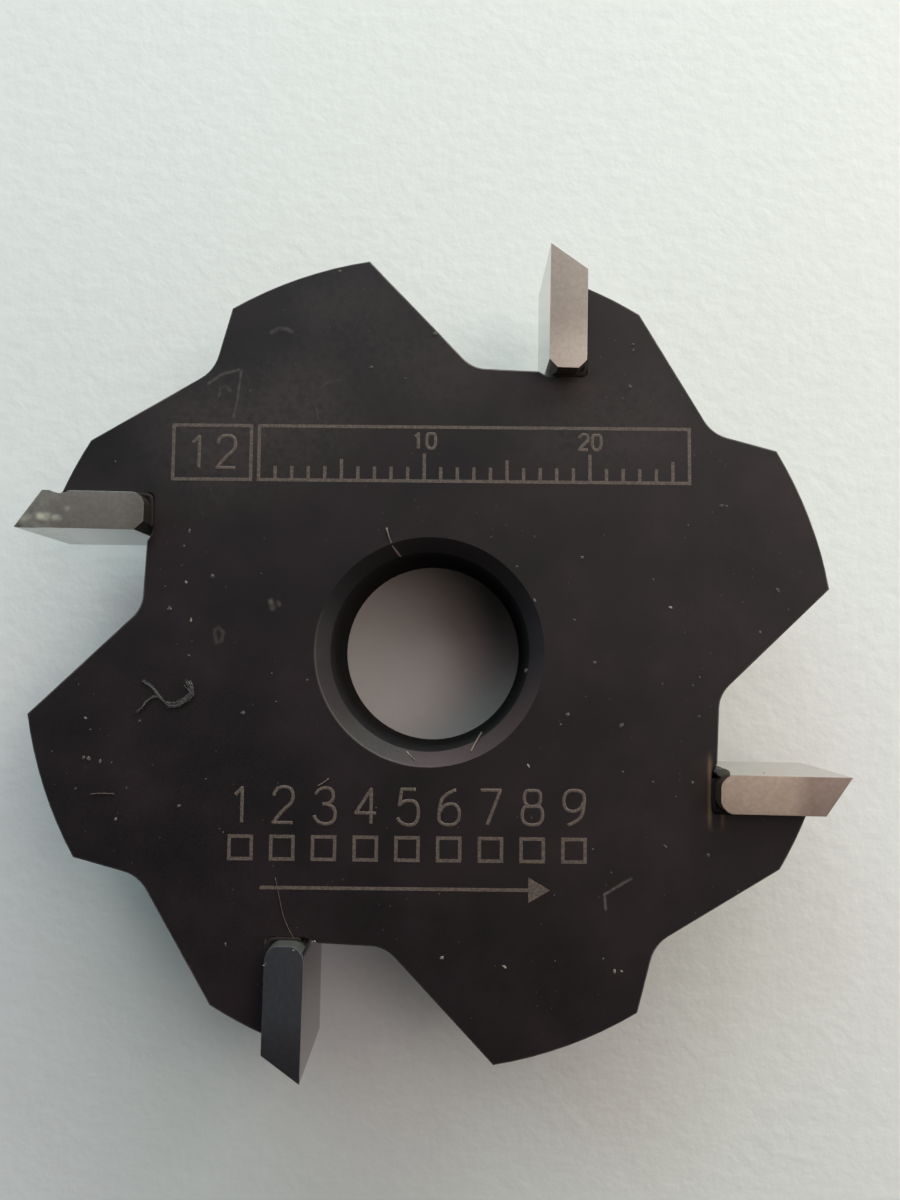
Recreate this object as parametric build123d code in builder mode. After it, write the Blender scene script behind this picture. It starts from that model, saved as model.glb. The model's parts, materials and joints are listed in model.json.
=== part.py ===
"""Slotting cutter: a black steel body with four brazed carbide tips.

The bore axis is Z. The hub stands on Z = 0, the marked face is on top and the rake
face of tip 1 lies parallel to X. Every plan outline is drawn for tooth 1, which
points along +X and cuts towards +Y, and is then repeated around the axis.
"""
from build123d import *

from math import cos, radians, sin, sqrt, tan
import os

# Teeth
tooth_count = 4
cutting_diameter = 50.8
cutting_width = 8.0
hook_angle = 15.5
end_relief_angle = 18.3
radial_clearance_angle = 1.5
tangential_clearance_angle = 2.0

# Carbide tips and their brazed seats
tip_length = 7.5
tip_thickness = 2.25
tip_corner = 0.5
braze_film = 0.12
seat_lead = 0.5
seat_corner_radius = 0.25

# Steel body: each flank is given by the way it faces and its depth below the rim
chip_limit = 1.2
body_thickness = 5.0
gullet_floor_facing = -2.0
gullet_floor_depth = 6.85
gullet_ramp_facing = -45.6
gullet_ramp_depth = 10.5
gullet_corner_radius = 2.0
tail_facing = -58.6
tail_depth = 2.8
limiter_nose_facing = -14.4
limiter_nose_depth = 6.95
tail_corner_radius = 2.3
edge_break = 0.1

# Hub and bore
hub_diameter = 22.0
hub_length = 10.0
hub_root_radius = 0.6
hub_edge_chamfer = 0.5
bore_diameter = 12.0
countersink_width = 0.85
countersink_angle = 90.0
bore_exit_chamfer = 0.3

# Heights
body_top = hub_length
body_bottom = body_top - body_thickness
tip_middle = (body_top + body_bottom) / 2

# Plan positions that follow from the sizes
pitch_angle = 360 / tooth_count
cutting_radius = cutting_diameter / 2
rim_radius = cutting_radius - chip_limit
rake_y = -cutting_radius * sin(radians(hook_angle))
cutting_corner_x = cutting_radius * cos(radians(hook_angle))
tip_inner_x = cutting_corner_x - tip_length
tip_back_y = rake_y - tip_thickness
tip_end_lean = radians(hook_angle + end_relief_angle)
tip_back_x = cutting_corner_x - tip_thickness * tan(tip_end_lean)
seat_inner_x = tip_inner_x - braze_film
seat_back_y = tip_back_y - braze_film
seat_front_y = rake_y + seat_lead
clear_radius = 2 * rim_radius


def flank_crossing(facing_a, depth_a, facing_b, depth_b):
    """Return the plan point where two straight flanks meet."""
    reach_a = rim_radius - depth_a
    reach_b = rim_radius - depth_b
    a, b = radians(facing_a), radians(facing_b)
    spread = sin(b - a)
    x = (reach_a * sin(b) - reach_b * sin(a)) / spread
    y = (reach_b * cos(a) - reach_a * cos(b)) / spread
    return x, y


def flank_end(facing, depth, side):
    """Return the point where a flank leaves the blank, well outside the rim."""
    reach = rim_radius - depth
    run = side * sqrt(clear_radius**2 - reach**2)
    a = radians(facing)
    return reach * cos(a) - run * sin(a), reach * sin(a) + run * cos(a)


# Plan of one gullet: its floor, the long ramp behind the limiter, and open air outside
gullet_corner = flank_crossing(
    gullet_floor_facing, gullet_floor_depth, gullet_ramp_facing, gullet_ramp_depth
)
gullet_floor_x = (rim_radius - gullet_floor_depth) / cos(radians(gullet_floor_facing))
gullet_foot = (
    gullet_floor_x - seat_front_y * tan(radians(gullet_floor_facing)),
    seat_front_y,
)
with BuildSketch() as gullet:
    with BuildLine():
        Polyline(
            gullet_foot,
            gullet_corner,
            flank_end(gullet_ramp_facing, gullet_ramp_depth, 1),
            (clear_radius, seat_front_y),
            close=True,
        )
    make_face()
    inner_corner = gullet.vertices().sort_by_distance(gullet_corner)[0]
    fillet(inner_corner, gullet_corner_radius)

# Plan of the notch that sets the chip limiter off from the tail of the tooth
notch_corner = flank_crossing(
    tail_facing, tail_depth, limiter_nose_facing, limiter_nose_depth
)
with BuildSketch() as notch:
    with BuildLine():
        Polyline(
            notch_corner,
            flank_end(limiter_nose_facing, limiter_nose_depth, -1),
            flank_end(tail_facing, tail_depth, 1),
            close=True,
        )
    make_face()
    inner_corner = notch.vertices().sort_by_distance(notch_corner)[0]
    fillet(inner_corner, tail_corner_radius)

# Plan of the L-shaped seat that is milled behind the gullet for one tip
with BuildSketch() as seat:
    with BuildLine():
        Polyline(
            gullet_foot,
            (seat_inner_x, rake_y),
            (seat_inner_x, seat_back_y),
            (clear_radius, seat_back_y),
            (clear_radius, seat_front_y),
            close=True,
        )
    make_face()
    inner_corner = seat.vertices().sort_by_distance((seat_inner_x, seat_back_y))[0]
    fillet(inner_corner, seat_corner_radius)

# Plan of one carbide tip, relieved behind the cutting edge
with BuildSketch() as tip_plan:
    with BuildLine():
        Polyline(
            (cutting_corner_x, rake_y),
            (tip_back_x, tip_back_y),
            (tip_inner_x, tip_back_y),
            (tip_inner_x, rake_y),
            close=True,
        )
    make_face()
    chamfer(tip_plan.vertices().group_by(Axis.X)[0], tip_corner)

# Plan of the filler metal between a tip and the two walls of its seat
with BuildSketch() as braze_plan:
    Circle(rim_radius)
    add(seat.sketch, mode=Mode.INTERSECT)
    add(tip_plan.sketch, mode=Mode.SUBTRACT)
    with Locations((0, rake_y - tip_corner)):
        Rectangle(
            2 * clear_radius,
            clear_radius,
            align=(Align.CENTER, Align.MIN),
            mode=Mode.SUBTRACT,
        )

# Steel body: a turned blank with a hub below, milled all round
with BuildPart() as cutter_body:
    with BuildSketch(Plane.XY.offset(body_bottom)):
        Circle(rim_radius)
        with PolarLocations(0, tooth_count):
            add(gullet.sketch, mode=Mode.SUBTRACT)
            add(notch.sketch, mode=Mode.SUBTRACT)
            add(seat.sketch, mode=Mode.SUBTRACT)
    extrude(amount=body_thickness)
    top_rim = cutter_body.edges().group_by(Axis.Z)[-1]
    bottom_rim = cutter_body.edges().group_by(Axis.Z)[0]
    chamfer(top_rim + bottom_rim, edge_break)
    with BuildSketch(Plane.XY):
        Circle(hub_diameter / 2)
    extrude(amount=body_bottom)
    hub_outline = cutter_body.edges(Select.LAST).filter_by(GeomType.CIRCLE)
    hub_root, hub_edge = hub_outline.sort_by(Axis.Z, reverse=True)
    fillet(hub_root, hub_root_radius)
    chamfer(hub_edge, hub_edge_chamfer)
    with Locations(Plane.XY.offset(body_top)):
        CounterSinkHole(
            radius=bore_diameter / 2,
            counter_sink_radius=bore_diameter / 2 + countersink_width,
            counter_sink_angle=countersink_angle,
        )
    exit_edge = cutter_body.edges().filter_by(GeomType.CIRCLE).group_by(Axis.Z)[0]
    chamfer(exit_edge.sort_by(SortBy.RADIUS)[0], bore_exit_chamfer)

# One tip: both side faces fall away from the cutting corner
side_fall_inward = tan(radians(radial_clearance_angle))
side_fall_back = tan(radians(tangential_clearance_angle))
with BuildPart() as tip_pattern:
    with BuildSketch(Plane.XY.offset(tip_middle - cutting_width / 2)):
        add(tip_plan.sketch)
    extrude(amount=cutting_width)
    for side in (1, -1):
        side_face = Plane(
            origin=(cutting_corner_x, rake_y, tip_middle + side * cutting_width / 2),
            z_dir=(-side_fall_inward, -side_fall_back, side),
        )
        split(bisect_by=side_face, keep=Keep.BOTTOM)

with BuildPart() as braze_pattern:
    with BuildSketch(Plane.XY.offset(body_bottom)):
        add(braze_plan.sketch)
    extrude(amount=body_thickness)

os.makedirs("parts", exist_ok=True)
cutter_body.part.label = "cutter_body"
export_step(cutter_body.part, "parts/cutter_body.step")

for tooth in range(tooth_count):
    turn = (0, 0, tooth * pitch_angle)
    with BuildPart() as carbide_tip:
        add(tip_pattern.part, rotation=turn)
    carbide_tip.part.label = f"carbide_tip_{tooth + 1}"
    export_step(carbide_tip.part, f"parts/carbide_tip_{tooth + 1}.step")
    with BuildPart() as braze_seam:
        add(braze_pattern.part, rotation=turn)
    braze_seam.part.label = f"braze_seam_{tooth + 1}"
    export_step(braze_seam.part, f"parts/braze_seam_{tooth + 1}.step")
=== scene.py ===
"""A slotting cutter on a pale floor, seen from close above.

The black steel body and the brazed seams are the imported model's own pieces. The carbide
tips, the etched marks and the litter that lies on the cutter are made here, in metres,
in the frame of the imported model: the bore axis is Z and the marked face is on top.
"""
import json
import logging
import math
import random
from collections.abc import Callable, Iterator
from contextlib import contextmanager
from dataclasses import dataclass
from enum import Enum
from functools import partial

import bpy
from mathutils import Euler, Matrix, Vector


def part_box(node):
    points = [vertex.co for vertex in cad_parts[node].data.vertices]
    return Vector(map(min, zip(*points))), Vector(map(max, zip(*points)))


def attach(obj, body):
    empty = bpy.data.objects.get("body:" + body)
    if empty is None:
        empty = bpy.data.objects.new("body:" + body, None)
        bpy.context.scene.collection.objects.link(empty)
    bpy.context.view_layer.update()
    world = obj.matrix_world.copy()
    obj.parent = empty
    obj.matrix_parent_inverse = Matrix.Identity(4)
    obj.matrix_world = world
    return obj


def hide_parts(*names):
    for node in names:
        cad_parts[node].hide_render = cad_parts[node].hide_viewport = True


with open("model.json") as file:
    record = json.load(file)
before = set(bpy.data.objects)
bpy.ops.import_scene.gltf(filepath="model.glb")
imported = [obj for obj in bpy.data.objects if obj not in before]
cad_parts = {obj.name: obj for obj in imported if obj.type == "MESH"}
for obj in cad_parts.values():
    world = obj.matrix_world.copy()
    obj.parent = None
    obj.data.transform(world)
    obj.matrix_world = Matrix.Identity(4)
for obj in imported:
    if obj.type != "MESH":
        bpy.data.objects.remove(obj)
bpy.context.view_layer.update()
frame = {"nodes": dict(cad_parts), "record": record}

Point = tuple[float, float]
Triple = tuple[float, float, float]
Colour = tuple[float, float, float, float]
Socket = bpy.types.NodeSocket
Tree = bpy.types.NodeTree
Piece = bpy.types.Object
Material = bpy.types.Material
Adder = Callable[..., Socket]

MM = 0.001
MARKED_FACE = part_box("cutter_body")[1].z / MM
BORE_RADIUS = next(m for m in frame["record"]["mounts"] if m["name"] == "bore")["dims"]["r_mm"]
COUNTERSINK_WIDTH = 0.85
MERGE_WITHIN_MM = 0.001
NO_LIMIT_MM = 1000.0
WALL_MARGIN = 0.02
RIM_MARGIN = 0.3
FACING_UP = 0.9
TOOTH_COUNT = 4
QUARTER_TURN = 360 / TOOTH_COUNT
TIP_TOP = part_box("carbide_tip_1")[1].z / MM
RUB_GRAIN_MM = 0.35
RUB_FADE = 1.3
RUB_PATCHES = (0.3, 0.6)
RUB_LEAST = 0.35

# Sockets that are set together: a blend's share and two colours, and a range's two ends
MIX = (0, 6, 7)
FROM = ("From Min", "From Max")
TO = ("To Min", "To Max")

# Settings of nodes: a blend of two colours, and a range with soft ends
BLEND = {"data_type": "RGBA", "output": 2}
SMOOTH = {"interpolation_type": "SMOOTHSTEP"}

log = logging.getLogger("slotting_cutter")


def linear(colour: str, alpha: float = 1.0) -> Colour:
    """Turns an sRGB hex colour to the linear values that shaders take.

    Args:
        colour: six hex digits after a hash.
        alpha: the fourth value.

    Returns:
        Red, green, blue and alpha.
    """
    channels = (int(colour[i:i + 2], 16) / 255 for i in (1, 3, 5))
    bent = (c / 12.92 if c <= 0.04045 else ((c + 0.055) / 1.055) ** 2.4 for c in channels)
    return (*bent, alpha)


def scale_of(pattern_mm: float) -> float:
    """Returns the texture scale at which a pattern has this size."""
    return 1 / (pattern_mm * MM)


def feed(node: bpy.types.Node, inputs: dict | tuple) -> None:
    """Gives a node its values and its links.

    Args:
        node: the node.
        inputs: a value or the socket that feeds it, in order or by name or number. A
            group of names takes a group of values.
    """
    for key, value in (inputs if isinstance(inputs, dict) else dict(enumerate(inputs))).items():
        for name, item in zip(key, value) if isinstance(key, tuple) else ((key, value),):
            if isinstance(item, Socket):
                node.id_data.links.new(item, node.inputs[name])
            else:
                node.inputs[name].default_value = item


def add_node(
    tree: Tree,
    kind: str,
    inputs: dict | tuple = (),
    output: int | str = 0,
    stops: list[tuple[float, Colour]] | None = None,
    **settings: object,
) -> Socket:
    """Adds a node with its settings, its values and its links.

    Args:
        tree: the node tree that gets it.
        kind: the node's type name, without the prefix that shader nodes share.
        inputs: its values and links, as feed takes them.
        output: which output is wanted.
        stops: the places and colours of a colour ramp, in order.
        settings: properties of the node and their values.

    Returns:
        The wanted output.
    """
    node = tree.nodes.new(f"ShaderNode{kind}")
    for name, value in settings.items():
        setattr(node, name, value)
    feed(node, inputs)
    if stops:
        elements = node.color_ramp.elements
        first, *middle, last = stops
        for element, (place, colour) in zip(elements, (first, last)):
            element.position, element.color = place, colour
        for place, colour in middle:
            elements.new(place).color = colour
    return node.outputs[output]


def start_material(name: str) -> tuple[Material, Adder, bpy.types.Node, Socket]:
    """Starts a material that reads the place on its own object.

    Args:
        name: the material's name.

    Returns:
        The material, what adds nodes to it, its shader and the object coordinates.
    """
    material = bpy.data.materials.new(name)
    material.use_nodes = True
    tree = material.node_tree
    add = partial(add_node, tree)
    return material, add, tree.nodes["Principled BSDF"], add("TexCoord", output="Object")


def select_only(piece: Piece) -> None:
    """Makes one object the only selected and the active one.

    Args:
        piece: the object.
    """
    bpy.ops.object.select_all(action="DESELECT")
    piece.select_set(True)
    bpy.context.view_layer.objects.active = piece


def add_primitive(kind: str, **settings: object) -> Piece:
    """Adds one of the basic meshes, as the only selected object.

    Args:
        kind: which mesh, as the operators name it.
        settings: what its operator takes.

    Returns:
        The new object.
    """
    bpy.ops.object.select_all(action="DESELECT")
    getattr(bpy.ops.mesh, f"primitive_{kind}_add")(**settings)
    return bpy.context.active_object


@contextmanager
def edit_mode(everything: bool = True) -> Iterator[None]:
    """Works on the active mesh in edit mode.

    Args:
        everything: whether all of it is selected first.

    Yields:
        Nothing. The work on the mesh goes in the with block.
    """
    bpy.ops.object.mode_set(mode="EDIT")
    if everything:
        bpy.ops.mesh.select_all(action="SELECT")
    yield
    bpy.ops.object.mode_set(mode="OBJECT")


def select_edges(piece: Piece, wanted: Callable[[Vector, Vector], bool]) -> None:
    """Selects the edges whose two ends pass a test.

    Args:
        piece: the mesh object.
        wanted: takes the two ends, in metres, and says whether the edge counts.
    """
    select_only(piece)
    with edit_mode(everything=False):
        bpy.ops.mesh.select_mode(type="EDGE")
        bpy.ops.mesh.select_all(action="DESELECT")
    corners = piece.data.vertices
    for edge in piece.data.edges:
        edge.select = wanted(*(corners[i].co for i in edge.vertices))


def apply_modifier(piece: Piece, kind: str, **settings: object) -> None:
    """Adds a modifier to a mesh and applies it.

    Args:
        piece: the mesh object.
        kind: the modifier's type.
        settings: its properties and their values.
    """
    select_only(piece)
    modifier = piece.modifiers.new(kind.lower(), kind)
    for name, value in settings.items():
        setattr(modifier, name, value)
    bpy.ops.object.modifier_apply(modifier=modifier.name)


def copy_of(pattern: Piece) -> Piece:
    """Copies an object, with a mesh of its own.

    Args:
        pattern: the mesh object.

    Returns:
        The copy, in the scene.
    """
    twin = pattern.copy()
    twin.data = pattern.data.copy()
    bpy.context.scene.collection.objects.link(twin)
    return twin


def join(pieces: list[Piece], name: str) -> Piece:
    """Joins several meshes to one and names it.

    Args:
        pieces: the meshes, at least one.
        name: the name of the result.

    Returns:
        The joined object, with its place in its mesh.
    """
    select_only(pieces[0])
    for piece in pieces:
        piece.select_set(True)
    bpy.ops.object.transform_apply(location=True, rotation=True, scale=True)
    if len(pieces) > 1:
        bpy.ops.object.join()
    whole = bpy.context.active_object
    whole.name = name
    whole.data.name = name
    return whole


def mount_on_cutter(
    piece: Piece, slot: str, material: Material, *replaced: str
) -> Piece:
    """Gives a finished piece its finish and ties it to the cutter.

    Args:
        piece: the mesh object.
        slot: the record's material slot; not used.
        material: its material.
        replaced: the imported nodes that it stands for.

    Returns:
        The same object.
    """
    piece.data.materials.clear()
    piece.data.materials.append(material)
    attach(piece, "root")
    if replaced:
        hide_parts(*replaced)
    log.info("%s: %d faces", piece.name, len(piece.data.polygons))
    return piece


def tube(points: list[Vector], width_mm: float, roundness: int = 1) -> Piece:
    """Adds a round strand along a smooth line, with closed ends or joined to a loop.

    Args:
        points: the line's control points, in metres.
        width_mm: how thick it is.
        roundness: how finely its section is divided.

    Returns:
        The strand as a closed mesh.
    """
    bpy.ops.object.select_all(action="DESELECT")
    bpy.ops.curve.primitive_nurbs_path_add()
    curve = bpy.context.active_object.data
    curve.splines.clear()
    spline = curve.splines.new("NURBS")
    spline.points.add(len(points) - 1)
    for control, point in zip(spline.points, points):
        control.co = (*point, 1.0)
    spline.order_u = 3
    spline.use_cyclic_u = (points[0] - points[-1]).length < MERGE_WITHIN_MM * MM
    spline.use_endpoint_u = not spline.use_cyclic_u
    curve.dimensions = "3D"
    curve.bevel_depth = width_mm / 2 * MM
    curve.bevel_resolution = roundness
    curve.use_fill_caps = True
    bpy.ops.object.convert(target="MESH")
    with edit_mode():
        bpy.ops.mesh.remove_doubles(threshold=MERGE_WITHIN_MM * MM)
        bpy.ops.mesh.normals_make_consistent(inside=False)
    return bpy.context.active_object


@dataclass(frozen=True)
class PhotoCamera:
    """The camera that took the photograph, close above the cutter and looking down."""

    photo_width: int = 900
    photo_height: int = 1200
    focal_px: float = 919.3
    place_mm: Triple = (1.37, -0.65, 64.82)
    turn_deg: Triple = (3.9, 0.15, 1.11)
    sensor_mm: float = 36.0
    clip_m: Point = (0.001, 10.0)

    def turn(self) -> Matrix:
        """Returns the rotation from camera axes to the cutter's axes."""
        return Euler([math.radians(a) for a in self.turn_deg], "XYZ").to_matrix()

    def on_plane(self, pixel: Point, height_mm: float = MARKED_FACE) -> Vector:
        """Finds the place that a pixel of the photograph shows on a level plane.

        Args:
            pixel: across and down, in the photograph's own pixels.
            height_mm: the plane's height above the floor.

        Returns:
            The place in millimetres.
        """
        across = (pixel[0] - (self.photo_width - 1) / 2) / self.focal_px
        up = ((self.photo_height - 1) / 2 - pixel[1]) / self.focal_px
        ray = self.turn() @ Vector((across, up, -1.0))
        place = Vector(self.place_mm)
        return place + ray * ((height_mm - place.z) / ray.z)

    def on_top(self, pixel: Point) -> Vector:
        """Finds the place that a pixel shows on the marked face or in the countersink.

        Args:
            pixel: across and down, in the photograph's own pixels.

        Returns:
            The place in millimetres.
        """
        place = self.on_plane(pixel)
        below_rim = BORE_RADIUS + COUNTERSINK_WIDTH - place.xy.length
        return self.on_plane(pixel, MARKED_FACE - min(max(below_rim, 0.0), COUNTERSINK_WIDTH))

    def build(self) -> None:
        """Adds the camera and makes it the scene's own."""
        data = bpy.data.cameras.new("photo_camera")
        data.sensor_fit = "AUTO"
        data.sensor_width = self.sensor_mm
        data.lens = self.focal_px * self.sensor_mm / self.photo_height
        data.clip_start, data.clip_end = self.clip_m
        camera = bpy.data.objects.new("photo_camera", data)
        camera.location = Vector(self.place_mm) * MM
        camera.rotation_euler = self.turn().to_euler()
        bpy.context.scene.collection.objects.link(camera)
        bpy.context.scene.camera = camera


@dataclass(frozen=True)
class Softbox:
    """A square soft lamp that faces the cutter.

    The level is how bright it alone makes a white surface that faces it.
    """

    name: str
    azimuth_deg: float
    elevation_deg: float
    level: Triple
    distance_mm: float = 350.0
    side_mm: float = 210.0

    def build(self, aim: Vector) -> Piece:
        """Adds the lamp.

        Args:
            aim: the point that it faces, in metres.

        Returns:
            The lamp's object.
        """
        azimuth = math.radians(self.azimuth_deg)
        elevation = math.radians(self.elevation_deg)
        away = Vector((
            math.cos(azimuth) * math.cos(elevation),
            math.sin(azimuth) * math.cos(elevation),
            math.sin(elevation),
        ))
        strongest = max(self.level)
        distance = self.distance_mm * MM
        data = bpy.data.lights.new(self.name, "AREA")
        data.shape = "SQUARE"
        data.size = self.side_mm * MM
        data.energy = strongest * (math.pi * distance) ** 2
        data.color = [channel / strongest for channel in self.level]
        lamp = bpy.data.objects.new(self.name, data)
        lamp.location = aim + away * distance
        lamp.rotation_euler = away.to_track_quat("Z", "Y").to_euler()
        lamp.visible_camera = False
        bpy.context.scene.collection.objects.link(lamp)
        return lamp


def seen_directly(add: Adder, *kinds: str) -> Socket:
    """Adds up the kinds of ray that show a surface rather than light it.

    Args:
        add: adds a node to the tree.
        kinds: outputs of the Light Path node.

    Returns:
        One for such a ray, and otherwise zero.
    """
    ray = add("LightPath").node.outputs
    total = ray[kinds[0]]
    for kind in kinds[1:]:
        total = add("Math", (total, ray[kind]), operation="ADD", use_clamp=True)
    return total


@dataclass(frozen=True)
class Studio:
    """Pale floor, soft lamps that stand mostly low at the far side, and a dim surround.

    Far from the cutter the floor runs into the pale backdrop without an edge.
    """

    floor_side_mm: float = 3000.0
    floor_colour: str = "#E4E6E2"
    floor_shade: str = "#DDDFDB"
    mottle_mm: float = 1.6
    fibre_mm: float = 1.1
    fibre_rise_mm: float = 0.05
    fibre_strength: float = 0.8
    floor_roughness: float = 0.9
    floor_reflectance: float = 0.2
    surround_colour: str = "#E4E6E2"
    surround_level: float = 0.03
    floor_ends_mm: Point = (55.0, 88.0)
    backdrop_ends_rise: Point = (0.08, 0.26)
    aim_mm: Triple = (0.0, 0.0, 5.0)
    lamps: tuple[Softbox, ...] = (
        Softbox("window_lamp_right", 60.0, 12.0, (0.958, 1.03, 0.883)),
        Softbox("window_lamp_middle", 90.0, 12.0, (0.66, 0.572, 0.69)),
        Softbox("window_lamp_left", 120.0, 30.0, (0.1, 0.25, 0.246)),
        Softbox("raised_lamp_right", 30.0, 50.0, (0.266, 0.233, 0.219)),
        Softbox("raised_lamp_middle", 90.0, 50.0, (0.11, 0.108, 0.113)),
        Softbox("raised_lamp_left", 120.0, 50.0, (0.065, 0.048, 0.052)),
        Softbox("warm_high_lamp", 0.0, 69.0, (0.094, 0.069, 0.063), side_mm=140.0),
        Softbox("side_fill_right", 0.0, 12.0, (0.34, 0.356, 0.345), 120.0, 72.0),
        Softbox("side_fill_left", 180.0, 12.0, (0.144, 0.165, 0.203), 120.0, 72.0),
    )

    def paper(self) -> Material:
        """Makes the floor's material: smooth uncoated card, matt and faintly fibrous.

        Returns:
            The material.
        """
        material, add, shader, place = start_material("uncoated_card")
        mottle = add("TexNoise", {"Vector": place, "Scale": scale_of(self.mottle_mm), "Detail": 4.0})
        shade = add(
            "Mix", {MIX: (mottle, linear(self.floor_colour), linear(self.floor_shade))}, **BLEND
        )
        fibres = add("TexNoise", {"Vector": place, "Scale": scale_of(self.fibre_mm), "Detail": 3.0})
        rise = self.fibre_rise_mm * MM
        bump = add("Bump", {"Height": fibres, "Strength": self.fibre_strength, "Distance": rise})
        feed(shader, {
            "Base Color": shade, "Normal": bump, "Roughness": self.floor_roughness,
            "Specular IOR Level": self.floor_reflectance,
        })

        # The far floor looks like the backdrop, and only the near floor keeps light and shade
        distance = add("VectorMath", (place,), "Value", operation="LENGTH")
        ends = tuple(end * MM for end in self.floor_ends_mm)
        far = add("MapRange", {"Value": distance, FROM: ends}, **SMOOTH)
        shown = seen_directly(add, "Is Camera Ray", "Is Glossy Ray", "Is Transmission Ray")
        share = add("Math", (far, shown), operation="MULTIPLY")
        backdrop = add("Emission", {"Color": linear(self.surround_colour), "Strength": 1.0})
        mix = add("MixShader", (share, shader.outputs[0], backdrop))
        feed(material.node_tree.nodes["Material Output"], {"Surface": mix})
        return material

    def build_floor(self) -> None:
        """Adds the floor at the height that the cutter lies on."""
        floor = add_primitive("plane", size=self.floor_side_mm * MM)
        floor.name = "floor"
        floor.data.materials.append(self.paper())

    def build_surround(self) -> None:
        """Lights the scene evenly at a low level, and shows a pale backdrop all round.

        Metal mirrors the backdrop too, up to where its top fades in the dim room.
        """
        world = bpy.data.worlds.new("surround")
        world.use_nodes = True
        tree = world.node_tree
        tree.nodes.clear()
        add = partial(add_node, tree)
        pale = linear(self.surround_colour)
        seen = add("Background", {"Color": pale, "Strength": 1.0})
        light = add("Background", {"Color": pale, "Strength": self.surround_level})
        direction = add("TexCoord", output="Generated")
        rise = add("SeparateXYZ", (direction,), "Z")
        low = add("MapRange", {"Value": rise, FROM: self.backdrop_ends_rise, TO: (1.0, 0.0)}, **SMOOTH)
        by_mirrors = seen_directly(add, "Is Glossy Ray", "Is Transmission Ray")
        mirrored = add("Math", (by_mirrors, low), operation="MULTIPLY")
        by_camera = seen_directly(add, "Is Camera Ray")
        share = add("Math", (by_camera, mirrored), operation="MAXIMUM")
        mix = add("MixShader", (share, light, seen))
        feed(tree.nodes.new("ShaderNodeOutputWorld"), {"Surface": mix})
        bpy.context.scene.world = world

    def build(self) -> None:
        """Builds the floor, the surround and the lamps."""
        self.build_floor()
        self.build_surround()
        for lamp in self.lamps:
            lamp.build(Vector(self.aim_mm) * MM)
        bpy.context.scene.view_settings.view_transform = "Standard"


@dataclass(frozen=True)
class Rub:
    """A place along pixels of the photograph where a surface has a rub, a stain or painted sheen."""

    pixels: tuple[Point, ...]
    width_mm: float = 0.1
    depth: float = 0.5


def rubbed_share(
    add: Adder, place: Socket, rubs: tuple[Rub, ...], locate: Callable[[Point], Vector]
) -> Socket:
    """Adds up places of rubs, stains and painted sheen, each by its distance to a short straight run.

    Args:
        add: adds a node to the material.
        place: the object coordinates.
        rubs: the places.
        locate: turns a pixel to a place on the surface, in millimetres.

    Returns:
        How far the surface has rubs, stains or painted sheen, from none to one.
    """
    reached_by = None
    for rub in rubs:
        points = [locate(pixel) * MM for pixel in rub.pixels]
        for start, end in zip(points, points[1:]):
            run = end - start
            offset = add("VectorMath", (place, start), operation="SUBTRACT")
            along = add(
                "VectorMath", (offset, run / run.length_squared), "Value", operation="DOT_PRODUCT"
            )
            share = add("Math", (along, 0.0), operation="ADD", use_clamp=True)
            nearest = add("VectorMath", {0: run, "Scale": share}, operation="SCALE")
            apart = add("VectorMath", (offset, nearest), "Value", operation="DISTANCE")
            reach = RUB_FADE * rub.width_mm * MM
            strength = add(
                "MapRange", {"Value": apart, FROM: (0.0, reach), TO: (rub.depth, 0.0)}, **SMOOTH
            )
            reached_by = strength if reached_by is None else add(
                "Math", (reached_by, strength), operation="MAXIMUM"
            )
    worn_unevenly = add("TexNoise", {"Vector": place, "Scale": scale_of(RUB_GRAIN_MM), "Detail": 3.0})
    patches = add("MapRange", {"Value": worn_unevenly, FROM: RUB_PATCHES, TO: (RUB_LEAST, 1.0)})
    return add("Math", (reached_by, patches), operation="MULTIPLY")


@dataclass(frozen=True)
class BrazingHeat:
    """How far the heat of brazing changed the black skin around one tip's inner end.

    Each value is a share of one: the black zone, part burn and part painted shade, the straw
    line and the brown halo. The tint is the colour of the line, and the reach is how far the
    halo goes.
    """

    black: float
    straw: float
    brown: float
    tint: str = "#63503E"
    reach_mm: float = 2.4


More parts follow.
